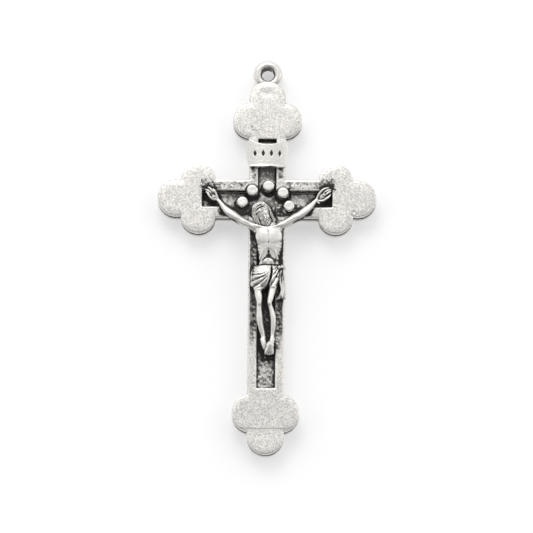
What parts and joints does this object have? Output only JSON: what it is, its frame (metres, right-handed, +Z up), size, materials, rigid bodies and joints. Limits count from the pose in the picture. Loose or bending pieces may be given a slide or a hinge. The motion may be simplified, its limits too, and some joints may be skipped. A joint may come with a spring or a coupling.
{
  "type": "crucifix pendant",
  "caption": "Flat metal crucifix pendant with trefoil arm ends, recessed cross field, applied figure, curved title scroll, an arc of ball studs and a hanging eye at the top.",
  "frame": {"origin": "centre of the hanging eye's bore, in the middle of the pendant's thickness", "axes": "+Z up along the upright, towards the eye; the front faces -Y; +X to the viewer's right"},
  "size_m": [0.0286, 0.0048, 0.0527],
  "materials": {
    "frame_metal": "satin",
    "back_metal": "matte",
    "eye_metal": "satin",
    "scroll_metal": "satin",
    "figure_metal": "satin",
    "stud_metal": "satin",
    "pin_metal": "satin"
  },
  "bodies": {
    "root": {"back_plate": "back_metal", "front_frame": "frame_metal", "bail_eye": "eye_metal", "title_scroll": "scroll_metal", "corpus": "figure_metal", "halo_stud_top": "stud_metal", "halo_stud_inner_left": "stud_metal", "halo_stud_inner_right": "stud_metal", "halo_stud_outer_left": "stud_metal", "halo_stud_outer_right": "stud_metal", "title_pin_left": "pin_metal", "title_pin_right": "pin_metal", "hand_nail_left": "pin_metal", "hand_nail_right": "pin_metal", "foot_nail": "pin_metal"}
  },
  "joints": []
}
